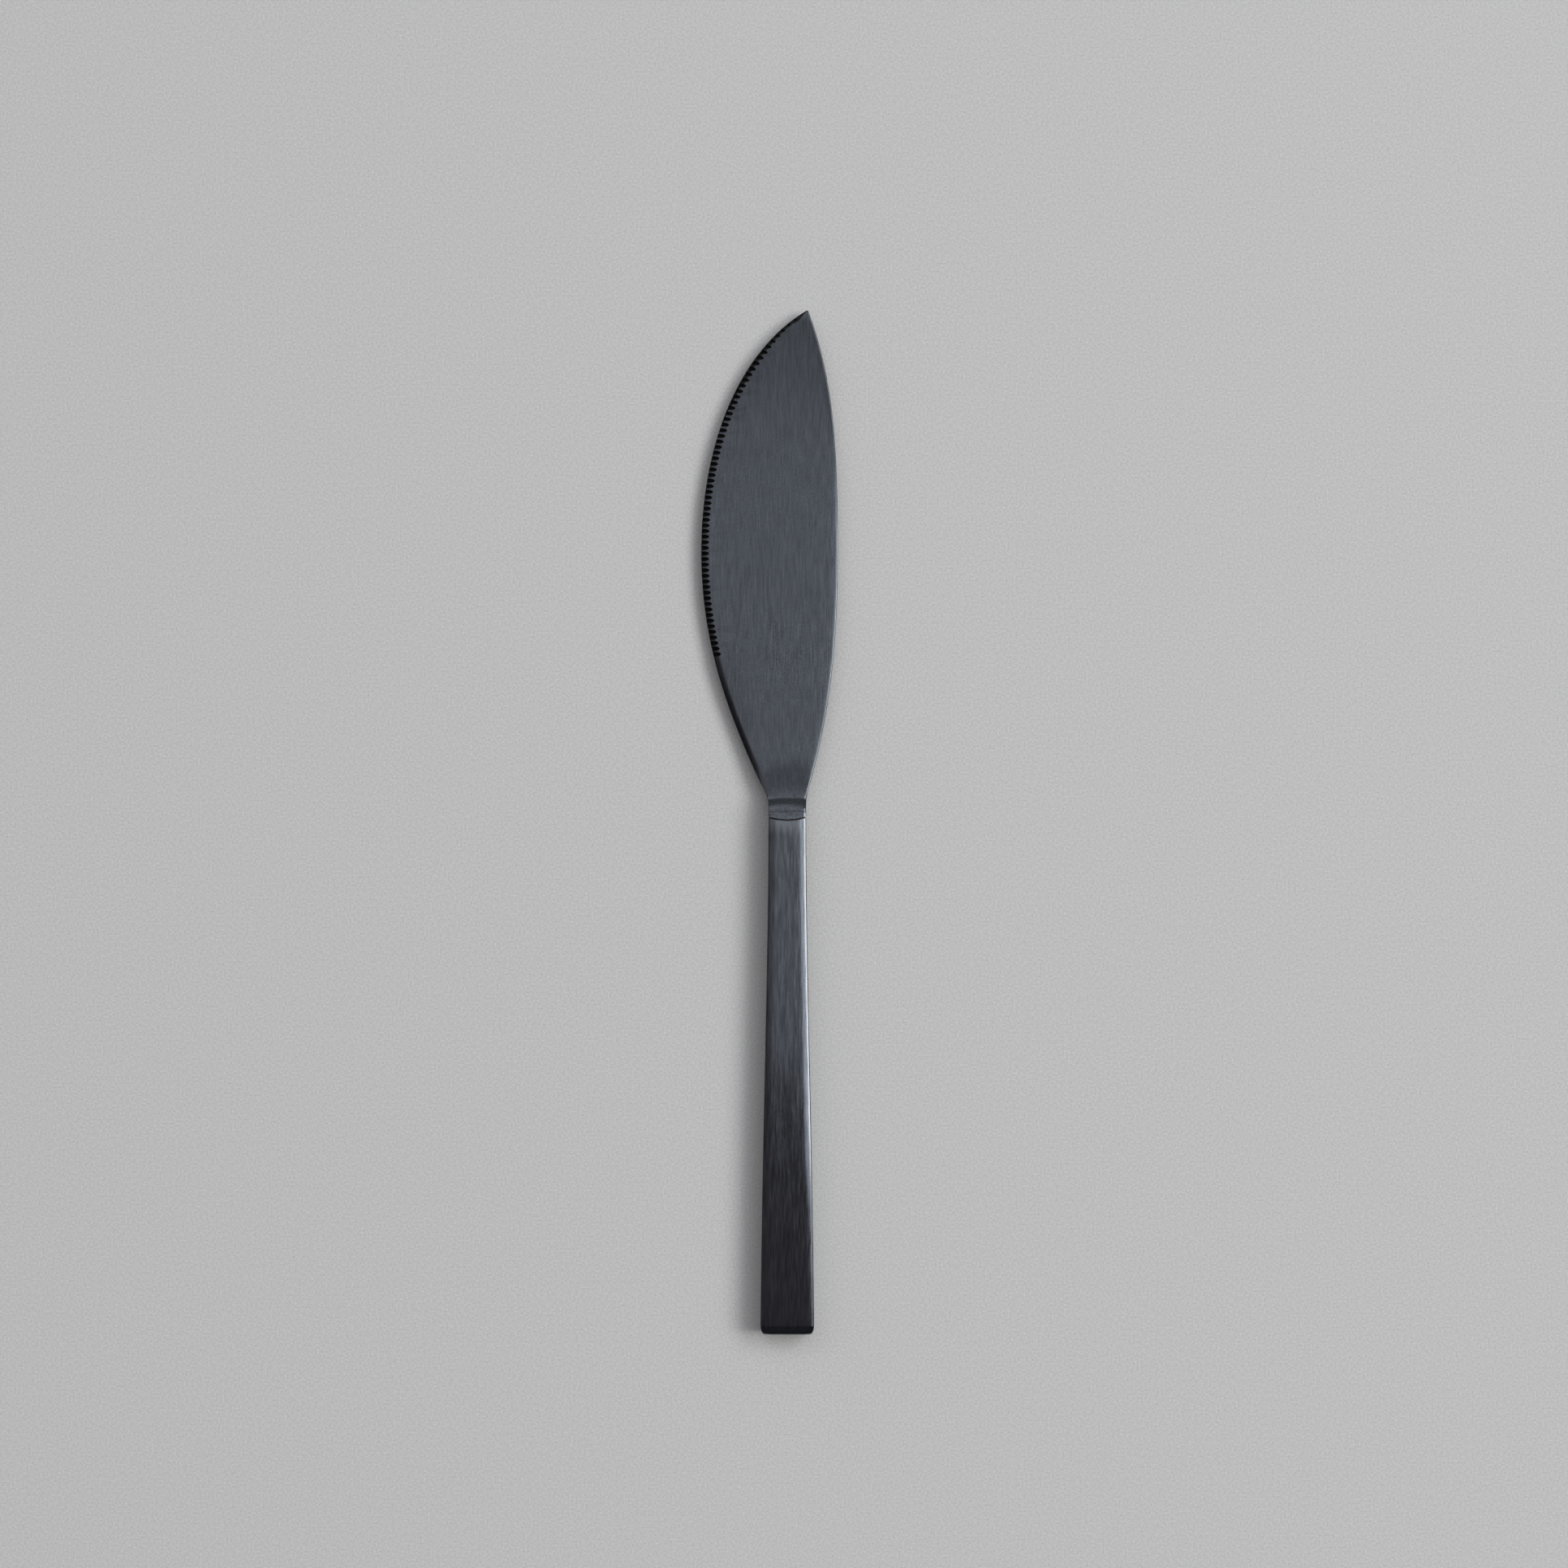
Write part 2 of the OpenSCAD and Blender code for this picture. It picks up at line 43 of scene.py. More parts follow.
# Blade outline
BLADE_LEN = 104.8 * MM
BELLY_Y = 55 * MM
EDGE_REACH = 17.7 * MM
SPINE_REACH = 10.4 * MM
TIP_X = 4.15 * MM
TIP_W = 0.3 * MM
TIP_EDGE_ANGLE = math.radians(59.5)
TIP_SPINE_ANGLE = math.radians(20.5)
HEEL_Y = 9 * MM
HEEL_EDGE_REACH = 6.2 * MM
HEEL_SPINE_REACH = 5.1 * MM
HEEL_EDGE_ANGLE = math.radians(24.5)
HEEL_SPINE_ANGLE = math.radians(15)

# How full the outline's curves are, as shares of the stretch that each one spans
TIP_PULL = 0.31
EDGE_BELLY_PULL = 0.47
SPINE_BELLY_PULL = 0.42
REAR_PULL = 0.39
HEEL_PULL = 0.33
NECK_PULL = 0.45
FLARE_NECK_PULL = 0.29
FLARE_BUTT_PULL = 0.47
FLARE_BUTT_SLOPE = 0.01

# Blade thickness and edges
BLADE_T = 1.8 * MM
TIP_T = 1 * MM
EDGE_T = 0.45 * MM
EDGE_ROUND_W = 1.4 * MM
SPINE_R = 0.25 * MM
BLADE_DROP = 0.5 * MM
RIM_W = 0.08 * MM
RIM_H = 0.02 * MM
RIM_LEAST = 0.12 * MM
SPINE_CROWN_W = 1.6 * MM
SPINE_CROWN_DROP = 0.05 * MM
BOLSTER_CROWN_W = 0.5 * MM
BOLSTER_CROWN_DROP = 0.08 * MM
BOLSTER_CROWN_POWER = 6
SHOULDER_SHARE = 0.9

# Strip beside the edge near the tip, painted dark as shade: where it starts, where it is full, and its full
# width
STRIP_START = 78 * MM
STRIP_FULL = 90 * MM
STRIP_W = 0.8 * MM

# Edge notches
NOTCH_FIRST_Y = 34 * MM
NOTCH_TIP_GAP = 1.2 * MM
NOTCH_PITCH = 1.155 * MM
NOTCH_W = 0.84 * MM
NOTCH_LEN = 1.6 * MM
NOTCH_FLOOR = 0.06 * MM
NOTCH_TURN = 0.3
NOTCH_FADE = 9 * MM
NOTCH_FADE_SHARE = 0.8
NOTCH_BAR = 4 * MM
NOTCH_SIDES = 32
SLANT_STEP = 0.4 * MM
CUT_OVER = 1 * MM

# Bolster, joint, spigot and tang
BOLSTER_LEN = 4.2 * MM
RISE_LEN = 14 * MM
RISE_SHARE = 0.45
RISE_POWER = 1.4
FILLET_SHARE = 0.3
FILLET_POWER = 5
PLATEAU_SHARE = 0.35
FRONT_POWER = 1.8
STRAIGHT_SHARE = 0.6
CREASE_BOW = 0.35 * MM
CREASE_SOFT = 0.4 * MM
JOINT_BOW = 0.6 * MM
JOINT_GAP = 0.25 * MM
JOINT_EDGE = 0.05 * MM
SPIGOT_LEN = 3 * MM
SPIGOT_CLEAR = 0.1 * MM
TANG_LEN = 45 * MM
TANG_W = 4.2 * MM
TANG_END_W = 3 * MM
TANG_T = 2.4 * MM
TANG_END_T = 1.6 * MM
TANG_R = 0.25 * MM
TANG_NOTCH_R = 0.6 * MM
TANG_NOTCHES = 3

# Handle and seam
HANDLE_LEN = 105.5 * MM
NECK_W = 7.75 * MM
NECK_T = 6 * MM
BUTT_W = 11.05 * MM
BUTT_T = 6.2 * MM
CORNER_R = 0.3 * MM
CROWN_W = 1.5 * MM
CROWN_DROP = 0.24 * MM
BUTT_ROUND_LEN = 2 * MM
BUTT_ROUND = 0.9 * MM
SHELL_WALL = 1 * MM
CAVITY_R = 0.3 * MM
WELD_W = 0.9 * MM

# Rings along each body, and steps round each section
TIP_LEN = 6 * MM
TIP_STEPS = 9
BLADE_STEPS = 50
RISE_STEPS = 24
BOLSTER_STEPS = 16
HANDLE_STEPS = 36
BUTT_STEPS = 9
CORE_STEPS = 12
CORNER_STEPS = 5
CROWN_STEPS = 4
FACE_STEPS = 4

# How much the rings on the rise crowd towards the bolster
RISE_CROWDING = 1.5
# How many halvings find a point on a curve
CURVE_HALVINGS = 40
# Faces that meet more flatly than this are shaded as one surface
SMOOTH_ANGLE = math.radians(18)

# Places worked out from the sizes above
RISE_END_Y = BOLSTER_LEN + RISE_LEN
NECK_Y = BOLSTER_LEN * STRAIGHT_SHARE
BUTT_START = HANDLE_LEN - BUTT_ROUND_LEN
TANG_END_Y = -SPIGOT_LEN - TANG_LEN
THICKENING = (BUTT_T - NECK_T) / 2 / BUTT_START
LEAN = math.atan(THICKENING)


def mix(a, b, t):
    """The value at share t of the way from a to b."""
    return a + (b - a) * t


def clamp01(t):
    return max(0.0, min(1.0, t))


def smooth(t):
    """A share from 0 to 1 that starts and ends gently."""
    c = clamp01(t)
    return c * c * (3 - 2 * c)


# Outline and sections of the knife, about its own middle plane


def bezier(points, t):
    """Point at share t of a cubic curve with four control points."""
    weights = ((1 - t) ** 3, 3 * (1 - t) ** 2 * t, 3 * (1 - t) * t * t, t ** 3)
    return [sum(w * p[axis] for w, p in zip(weights, points)) for axis in (0, 1)]


def reach_on(points, y):
    """Sideways reach of a curve whose length coordinate falls from start to end, at length y."""
    low, high = 0.0, 1.0
    for _ in range(CURVE_HALVINGS):
        middle = (low + high) / 2
        if bezier(points, middle)[1] > y:
            low = middle
        else:
            high = middle
    return bezier(points, (low + high) / 2)[0]


def side_reach(y, start_x, start_angle, reach, belly_pull, heel_reach, heel_angle):
    """Reach of one side of the blade's outline, counted away from the centre line."""
    if y >= BLADE_LEN:
        return start_x
    if y >= BELLY_Y:
        span = BLADE_LEN - BELLY_Y
        pull = TIP_PULL * span
        start = (start_x + pull * math.sin(start_angle), BLADE_LEN - pull * math.cos(start_angle))
        end = (reach, BELLY_Y + belly_pull * span)
        return reach_on([(start_x, BLADE_LEN), start, end, (reach, BELLY_Y)], y)
    if y >= HEEL_Y:
        span = BELLY_Y - HEEL_Y
        pull = HEEL_PULL * span
        start = (reach, BELLY_Y - REAR_PULL * span)
        end = (heel_reach + pull * math.sin(heel_angle), HEEL_Y + pull * math.cos(heel_angle))
        return reach_on([(reach, BELLY_Y), start, end, (heel_reach, HEEL_Y)], y)
    if y > NECK_Y:
        pull = NECK_PULL * (HEEL_Y - NECK_Y)
        start = (heel_reach - pull * math.sin(heel_angle), HEEL_Y - pull * math.cos(heel_angle))
        end = (NECK_W / 2, NECK_Y + pull)
        return reach_on([(heel_reach, HEEL_Y), start, end, (NECK_W / 2, NECK_Y)], y)
    return NECK_W / 2


def edge_x(y):
    """Where the cutting edge is at length y."""
    tip = (TIP_W / 2 - TIP_X, TIP_EDGE_ANGLE)
    return -side_reach(y, *tip, EDGE_REACH, EDGE_BELLY_PULL, HEEL_EDGE_REACH, HEEL_EDGE_ANGLE)


def edge_slant(y):
    """Angle between the cutting edge and the knife's length."""
    return math.atan((edge_x(y + SLANT_STEP / 2) - edge_x(y - SLANT_STEP / 2)) / SLANT_STEP)


def spine_x(y):
    """Where the spine is at length y."""
    tip = (TIP_W / 2 + TIP_X, TIP_SPINE_ANGLE)
    return side_reach(y, *tip, SPINE_REACH, SPINE_BELLY_PULL, HEEL_SPINE_REACH, HEEL_SPINE_ANGLE)


def sharp_rise(y):
    """How far the blade's face has risen to the bolster's, from 0 to 1, with a sharp crease."""
    if y >= RISE_END_Y:
        return 0.0
    if y > BOLSTER_LEN:
        near = (RISE_END_Y - y) / RISE_LEN
        return RISE_SHARE * mix(near ** RISE_POWER, near ** FILLET_POWER, FILLET_SHARE)
    ahead = clamp01((y / BOLSTER_LEN - PLATEAU_SHARE) / (1 - PLATEAU_SHARE))
    return 1 - (1 - RISE_SHARE) * ahead ** FRONT_POWER


def rise(y):
    """The same rise with its crease softened."""
    return (sharp_rise(y - CREASE_SOFT) + 2 * sharp_rise(y) + sharp_rise(y + CREASE_SOFT)) / 4


def face_half_t(y):
    """Half thickness at length y, on the flat of the face."""
    share = clamp01((y - RISE_END_Y) / (BLADE_LEN - RISE_END_Y))
    return mix(mix(BLADE_T, TIP_T, share) / 2, NECK_T / 2, rise(y))


def blade_middle(y):
    """Height of the blade's middle plane, which lies below the handle's."""
    return -BLADE_DROP * (1 - rise(y))


def bolster_share(y):
    """How far the blade's section has turned into the bolster's, from 0 to 1."""
    return 1 - smooth((y - BOLSTER_LEN) / RISE_LEN)


def tip_share(y):
    """Near the tip the blade is narrower than its shoulders, which shrink with it."""
    shoulders = EDGE_ROUND_W + RIM_W + SPINE_CROWN_W + SPINE_R
    return min(1.0, SHOULDER_SHARE * (spine_x(y) - edge_x(y)) / shoulders)


def shoulder(high, crown_w, crown_fall, corner_w, corner_h):
    """Points (distance from the rim, half height) from a corner over a soft crown to the flat face."""
    start = math.atan(2 * crown_fall / crown_w * corner_w / corner_h)
    base = high - crown_fall - corner_h * math.cos(start)
    crown_x = corner_w * (1 - math.sin(start))
    points = []
    for i in range(CORNER_STEPS + 1):
        turn = mix(math.pi / 2, start, i / CORNER_STEPS)
        points.append((corner_w * (1 - math.sin(turn)), base + corner_h * math.cos(turn)))
    for i in range(1, CROWN_STEPS + 1):
        left = 1 - i / CROWN_STEPS
        points.append((crown_x + crown_w * (1 - left), high - crown_fall * left ** 2))
    return points


def section(left_x, right_x, left_side, right_side):
    """Columns (x, half height) of a section between two shoulders, left to right."""
    left = [(left_x + d, half) for d, half in left_side]
    right = [(right_x - d, half) for d, half in reversed(right_side)]
    shares = [i / FACE_STEPS for i in range(1, FACE_STEPS)]
    face = [(mix(left[-1][0], right[0][0], t), mix(left[-1][1], right[0][1], t)) for t in shares]
    return left + face + right


def even_section(half_w, half_t, corner):
    """Columns of a section that is the same on both sides, with the handle's crown."""
    side = shoulder(half_t, CROWN_W, CROWN_DROP, corner, corner)
    return section(-half_w, half_w, side, side)


def blade_section(y):
    """Columns of the blade's section: rounded to the edge, cornered at the spine and round the bolster."""
    own = bolster_share(y)
    small = tip_share(y)
    high = mix(EDGE_T / 2, face_half_t(y), small)
    edge_drop = max(TOUCH, high - EDGE_T / 2 - RIM_H)
    spine_h = min(SPINE_R, high - SPINE_CROWN_DROP * small - RIM_LEAST)
    edge = (EDGE_ROUND_W * small, edge_drop, RIM_W * small, RIM_H)
    spine = (SPINE_CROWN_W * small, SPINE_CROWN_DROP * small, SPINE_R * small, spine_h)
    bolster = (BOLSTER_CROWN_W, BOLSTER_CROWN_DROP, CORNER_R, CORNER_R)
    edge_side = shoulder(high, *[mix(e, s, own) for e, s in zip(edge, spine)])
    spine_side = shoulder(high, *[mix(s, b, own ** BOLSTER_CROWN_POWER) for s, b in zip(spine, bolster)])
    return section(edge_x(y), spine_x(y), edge_side, spine_side)


def blade_ring(y):
    """Columns of the blade at length y, with the crease bowed forward at its middle."""
    middle = (spine_x(y) + edge_x(y)) / 2
    half_w = (spine_x(y) - edge_x(y)) / 2
    bow = CREASE_BOW * bolster_share(y) * clamp01(y / BOLSTER_LEN)
    ring = []
    for x, half in blade_section(y):
        read_at = y - bow * (1 - ((x - middle) / half_w) ** 2)
        ring.append((x, y, half + face_half_t(read_at) - face_half_t(y), blade_middle(read_at)))
    return ring


def joint_y(x):
    """The joint is bowed: its sides lie further forward than its middle."""
    return JOINT_BOW * (x / (NECK_W / 2)) ** 2


def at_joint(columns, shift):
    """A ring along the bowed joint, moved along the knife by shift."""
    return [(x, joint_y(x) + shift, half, 0) for x, half in columns]


def at_length(columns, y):
    """A straight ring at length y."""
    return [(x, y, half, 0) for x, half in columns]


def handle_half_w(s):
    """Half width of the handle at distance s behind the joint."""
    butt_x = BUTT_W / 2 - FLARE_BUTT_SLOPE * FLARE_BUTT_PULL * HANDLE_LEN
    neck = (NECK_W / 2, -FLARE_NECK_PULL * HANDLE_LEN)
    butt = (butt_x, (FLARE_BUTT_PULL - 1) * HANDLE_LEN)
    return reach_on([(NECK_W / 2, 0), neck, butt, (BUTT_W / 2, -HANDLE_LEN)], -s)


def handle_rings(inset, corner, steps):
    """Rings of the handle from behind its mouth round the butt, moved in from its surface by inset."""
    rings = []
    for i in range(steps + 1):
        s = mix(SPIGOT_LEN, BUTT_START, i / steps)
        columns = even_section(handle_half_w(s) - inset, NECK_T / 2 + THICKENING * s - inset, corner)
        rings.append(at_length(columns, -s))
    for i in range(1, BUTT_STEPS + 1):
        turn = math.pi / 2 * i / BUTT_STEPS
        less = inset + BUTT_ROUND * (1 - math.cos(turn))
        columns = even_section(handle_half_w(BUTT_START) - less, BUTT_T / 2 - less, corner)
        rings.append(at_length(columns, -BUTT_START - (BUTT_ROUND_LEN - inset) * math.sin(turn)))
    return rings


# Modelling by hand


def only(piece):
    """Leaves one object selected and active."""
    bpy.ops.object.select_all(action="DESELECT")
    piece.select_set(True)
    bpy.context.view_layer.objects.active = piece


def begin_edit(piece):
    """Opens one object for editing by its points."""
    only(piece)
    bpy.ops.object.mode_set(mode="EDIT")
    bpy.ops.mesh.select_mode(type="VERT")


def end_edit():
    bpy.ops.object.mode_set(mode="OBJECT")


def apply_modifier(piece, kind, **settings):
    """Adds one modifier with its settings and applies it."""
    only(piece)
    modifier = piece.modifiers.new(kind.lower(), kind)
    for name, value in settings.items():
        setattr(modifier, name, value)
    bpy.ops.object.modifier_apply(modifier=modifier.name)


def join_pieces(pieces):
    """Joins several objects into the first of them."""
    bpy.ops.object.select_all(action="DESELECT")
    for piece in pieces:
        piece.select_set(True)
    bpy.context.view_layer.objects.active = pieces[0]
    bpy.ops.object.join()
    bpy.ops.object.transform_apply(location=True, rotation=True, scale=True)
    return pieces[0]


def fit_ring(piece, ring):
    """Stretches and moves the columns of the selected ring, one by one, to their half heights and places."""
    mesh = bmesh.from_edit_mesh(piece.data)
    points = sorted((p for p in mesh.verts if p.select), key=lambda p: (p.co.x, p.co.z))
    bpy.ops.mesh.select_all(action="DESELECT")
    for i, (x, y, half, middle) in enumerate(ring):
        low, high = points[2 * i : 2 * i + 2]
        old = (low.co + high.co) / 2
        old_half = abs(high.co.z - low.co.z) / 2
        low.select_set(True)
        high.select_set(True)
        bpy.ops.transform.resize(value=(1, 1, half / old_half), center_override=old)
        bpy.ops.transform.translate(value=(x - old.x, y - old.y, middle - old.z))
        low.select_set(False)
        high.select_set(False)
    for point in points:
        point.select_set(True)
    mesh.select_flush(True)
    bmesh.update_edit_mesh(piece.data)


def loft(name, rings):
    """A closed body grown ring by ring out of a strip of faces, towards the butt."""
    bpy.ops.object.select_all(action="DESELECT")
    bpy.ops.mesh.primitive_grid_add(
        x_subdivisions=len(rings[0]) - 1, y_subdivisions=1, size=1, rotation=(math.pi / 2, 0, 0)
    )
    piece = bpy.context.object
    piece.name = name
    bpy.ops.object.transform_apply(location=True, rotation=True, scale=True)
    begin_edit(piece)
    bpy.ops.mesh.select_all(action="SELECT")
    fit_ring(piece, rings[0])
    for ring in rings[1:]:
        bpy.ops.mesh.extrude_region_move(TRANSFORM_OT_translate={"value": (0, -MM, 0)})
        fit_ring(piece, ring)
    bpy.ops.mesh.select_all(action="SELECT")
    bpy.ops.mesh.normals_make_consistent(inside=False)
    end_edit()
    return piece


def lay_flat(piece):
    """Turns the knife's middle plane to lie on the flat side of the handle."""
    only(piece)
    piece.rotation_euler = (-LEAN, 0, 0)
    piece.location = (0, 0, NECK_T / 2 * math.cos(LEAN))
    bpy.ops.object.transform_apply(location=True, rotation=True, scale=True)


def finish_piece(piece, node):
    """Lays a piece down, smooths it, and puts it in the place of a CAD node."""
    lay_flat(piece)
    bpy.ops.object.shade_smooth_by_angle(angle=SMOOTH_ANGLE)
    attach(piece, "root")
    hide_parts(node)


# The blade, with its bolster, spigot and tang


def blade_rings():
    """Rings of the forging from the tip to the end of the tang."""
    tip = [BLADE_LEN - TIP_LEN * (i / TIP_STEPS) ** 2 for i in range(TIP_STEPS)]
    flat = [mix(BLADE_LEN - TIP_LEN, RISE_END_Y, i / BLADE_STEPS) for i in range(BLADE_STEPS)]
    slope = [mix(BOLSTER_LEN, RISE_END_Y, (1 - i / RISE_STEPS) ** RISE_CROWDING) for i in range(RISE_STEPS)]
    end = JOINT_BOW + JOINT_GAP
    bolster = [mix(BOLSTER_LEN, end, i / BOLSTER_STEPS) for i in range(BOLSTER_STEPS)]
    neck = blade_section(0)
    eased = [(x * (1 - 2 * JOINT_EDGE / NECK_W), half - JOINT_EDGE) for x, half in neck]
    less = SHELL_WALL + SPIGOT_CLEAR
    spigot = even_section(NECK_W / 2 - less, NECK_T / 2 - less, CAVITY_R)
    side = shoulder(TANG_T / 2, TANG_R, TOUCH, TANG_R, TANG_R)
    tang = section(-TANG_W / 2, TANG_W / 2, side, side)
    side = shoulder(TANG_END_T / 2, TANG_R, TOUCH, TANG_R, TANG_R)
    tang_end = section(-TANG_END_W / 2, TANG_END_W / 2, side, side)
    return [
        *[blade_ring(y) for y in tip + flat + slope + bolster],
        at_joint(neck, JOINT_GAP / 2 + JOINT_EDGE),
        at_joint(eased, JOINT_GAP / 2),
        at_joint(spigot, JOINT_GAP / 2),
        at_length(spigot, -SPIGOT_LEN),
        at_length(tang, -SPIGOT_LEN),
        at_length(tang_end, TANG_END_Y),
    ]


def notch_cutter():
    """Round bars that cut the notches, each rising from rim to face, copied along the edge and joined."""
    bpy.ops.object.select_all(action="DESELECT")
    bpy.ops.mesh.primitive_cylinder_add(
        vertices=NOTCH_SIDES, radius=NOTCH_W / 2, depth=NOTCH_BAR, location=(0, 0, NOTCH_BAR / 2 - CUT_OVER)
    )
    bar = bpy.context.object
    bpy.ops.object.transform_apply(location=True, rotation=True, scale=True)
    bars = [bar]
    count = int((BLADE_LEN - NOTCH_TIP_GAP - NOTCH_FIRST_Y) / NOTCH_PITCH) + 1
    for i in range(count):
        y = NOTCH_FIRST_Y + i * NOTCH_PITCH
        if i:
            only(bar)
            bpy.ops.object.duplicate(linked=False)
            bars.append(bpy.context.object)
        slant = edge_slant(y)
        slope = math.atan((face_half_t(y) + EDGE_T / 2 - NOTCH_FLOOR) / NOTCH_LEN)
        axis_z = -EDGE_T / 2 + NOTCH_FLOOR + NOTCH_W / 2 / math.cos(slope)
        less = NOTCH_LEN * NOTCH_FADE_SHARE * (1 - clamp01((BLADE_LEN - y) / NOTCH_FADE))
        bars[i].location = (edge_x(y) - less, y, blade_middle(y) + axis_z)
        bars[i].rotation_euler = (0, math.pi / 2 - slope, -NOTCH_TURN * slant)
    return join_pieces(bars)


def tang_cutter():
    """Round bars that cut the grip notches into both sides of the tang."""
    bars = []
    for i in range(1, TANG_NOTCHES + 1):
        t = i / (TANG_NOTCHES + 1)
        for side in (-1, 1):
            bpy.ops.object.select_all(action="DESELECT")
            bpy.ops.mesh.primitive_cylinder_add(
                vertices=NOTCH_SIDES,
                radius=TANG_NOTCH_R,
                depth=TANG_T + CUT_OVER,
                location=(side * mix(TANG_W, TANG_END_W, t) / 2, mix(-SPIGOT_LEN, TANG_END_Y, t), 0),
            )
            bars.append(bpy.context.object)
    return join_pieces(bars)


def cut_away(piece, cutter):
    """Takes the cutter's shape out of a piece, leaves its finish on the cut faces, and removes it."""
    apply_modifier(
        piece, "BOOLEAN", operation="DIFFERENCE", solver="EXACT", object=cutter, material_mode="TRANSFER"
    )
    bpy.data.objects.remove(cutter)


def paint_rim_shade(blade, finish):
    """Gives the faces beside the cutting edge near the tip their own near-black finish, a painted shade
    along the rim.
    """
    blade.data.materials.append(finish)
    slot = len(blade.data.materials) - 1
    for face in blade.data.polygons:
        x, y = face.center.x, face.center.y
        strip = STRIP_W * smooth((y - STRIP_START) / (STRIP_FULL - STRIP_START))
        if (x - edge_x(y)) * math.cos(edge_slant(y)) < strip * tip_share(y):
            face.material_index = slot


def make_blade(face_finish, rim_shade_finish, notch_shade_finish):
    """The whole forging, with its edge notches and the tang's grip notches cut."""
    blade = loft("knife_blade", blade_rings())
    blade.data.materials.append(face_finish)
    # The strip beside the edge near the tip gets the near-black painted shade
    paint_rim_shade(blade, rim_shade_finish)
    # The notch cutters carry the near-black painted shade onto the notches' cut faces
    for cutter, finish in ((notch_cutter(), notch_shade_finish), (tang_cutter(), face_finish)):
        cutter.data.materials.append(finish)
        cut_away(blade, cutter)
    finish_piece(blade, "blade")


# The hollow handle: two shells and the weld between them


def hollow_handle(steel):
    """The whole handle as one closed wall with an open mouth."""
    mouth = even_section(NECK_W / 2, NECK_T / 2, CORNER_R)
    eased = even_section(NECK_W / 2 - JOINT_EDGE, NECK_T / 2 - JOINT_EDGE, CORNER_R)
    opening = even_section(NECK_W / 2 - SHELL_WALL, NECK_T / 2 - SHELL_WALL, CAVITY_R)
    body = loft("handle_body", [
        at_joint(eased, -JOINT_GAP / 2),
        at_joint(mouth, -JOINT_GAP / 2 - JOINT_EDGE),
        *handle_rings(0, CORNER_R, HANDLE_STEPS),
    ])
    core = loft("handle_core", [
        at_length(opening, CUT_OVER),
        *handle_rings(SHELL_WALL, CAVITY_R, CORE_STEPS),
    ])
    for solid in (body, core):
        solid.data.materials.append(steel)
    cut_away(body, core)
    return body


def slice_of(body, name, low, high):
    """A copy of the handle between two levels, with its cuts closed."""
    only(body)
    bpy.ops.object.duplicate(linked=False)
    piece = bpy.context.object
    piece.name = name
    begin_edit(piece)
    for level, up in ((low, -1), (high, 1)):
        if level is not None:
            bpy.ops.mesh.select_all(action="SELECT")
            bpy.ops.mesh.bisect(
                plane_co=(0, 0, level), plane_no=(0, 0, up), use_fill=True, clear_outer=True, threshold=TOUCH
            )
    end_edit()
    return piece


def make_handle(steel, weld):
    """The two shells and the weld, sliced from one hollow handle."""
    body = hollow_handle(steel)
    half = WELD_W / 2
    upper = slice_of(body, "handle_upper", half, None)
    lower = slice_of(body, "handle_lower", None, -half)
    bead = slice_of(body, "handle_seam", -half, half)
    bpy.data.objects.remove(body)
    bead.data.materials.clear()
    bead.data.materials.append(weld)
    finish_piece(upper, "handle_upper_shell")
    finish_piece(lower, "handle_lower_shell")
    finish_piece(bead, "handle_seam_weld")


# Finishes

# Noise under every mask, spread to use the whole range from 0 to 1
NOISE_DETAIL = 3
NOISE_ROUGHNESS = 0.6
NOISE_RANGE = (0.25, 0.75)

# Brushing: lines to the metre across and along the knife, and the share of even grain among them
BLADE_LINES = {"Across": 4200, "Along": 220, "Grain": 0.5}
HANDLE_LINES = {"Across": 3200, "Along": 190, "Grain": 0.3}
WELD_LINES = {"Across": 2500, "Along": 220, "Grain": 0.3}
LINE_DEPTH = 0.0008 * MM
WELD_LINE_DEPTH = 2 * LINE_DEPTH
# Where the handle's lines begin to soften and where they are softest, and the range that is left to them
SOFT_LINES = (-58 * MM, -76 * MM)
SOFT_RANGE = (0.15, 0.85)
# How far the painted highlight, a lighter tone, reaches behind the joint, and where it fades towards the
# right side
SHEEN_LEN = 3.6 * MM
SHEEN_SIDE = (2.4 * MM, 3.2 * MM)

# Grain, in specks to the metre
BRUSHED_GRAIN = 5000
MOTTLE_GRAIN = 2300
MOTTLE_RANGE = (0.2, 0.8)
MATT_GRAIN = 5000
BRAZE_GRAIN = 3000
CEMENT_GRAIN = 1500
PAPER_GRAIN = 2400
MATT_DEPTH = 0.003 * MM
BRAZE_DEPTH = 0.01 * MM
CEMENT_DEPTH = 0.05 * MM
PAPER_DEPTH = 0.02 * MM

# Tones, from the darkest to the lightest
COAT_TONES = ((0.045, 0.0495, 0.0565), (0.121, 0.133, 0.153))
STREAK_TONES = ((0.044, 0.048, 0.055), (0.126, 0.139, 0.159))
# Lighter tones towards the joint: a painted highlight
SHEEN_TONES = ((0.115, 0.125, 0.141), (0.185, 0.2, 0.224))
WELD_TONES = ((0.062, 0.068, 0.078), (0.121, 0.133, 0.153))
# Notch floors: near black, a painted shade in the notches' hollows
NOTCH_SHADE_TONES = ((0.002, 0.002, 0.002), (0.006, 0.006, 0.006))
# Rim strip near the tip: near black, a painted shade along the edge
RIM_SHADE_TONES = ((0.01, 0.01, 0.01), (0.02, 0.02, 0.021))
BRAZE_TONES = ((0.021, 0.0215, 0.0225), (0.05, 0.051, 0.053))
CEMENT_TONES = ((0.26, 0.21, 0.15), (0.42, 0.36, 0.28))
PAPER_TONE = (0.6, 0.6, 0.6)
PAPER_CONTRAST = 0.16

# Roughness, and how much light the matt finishes throw back
COAT_ROUGH = (0.08, 0.18)
WELD_ROUGH = (0.16, 0.24)
BRAZE_ROUGH = (0.4, 0.6)
MATT_ROUGH = 0.6
CEMENT_ROUGH = 0.9
PAPER_ROUGH = 0.9
MATT_SHINE = 0.03
PAPER_SHINE = 0.1


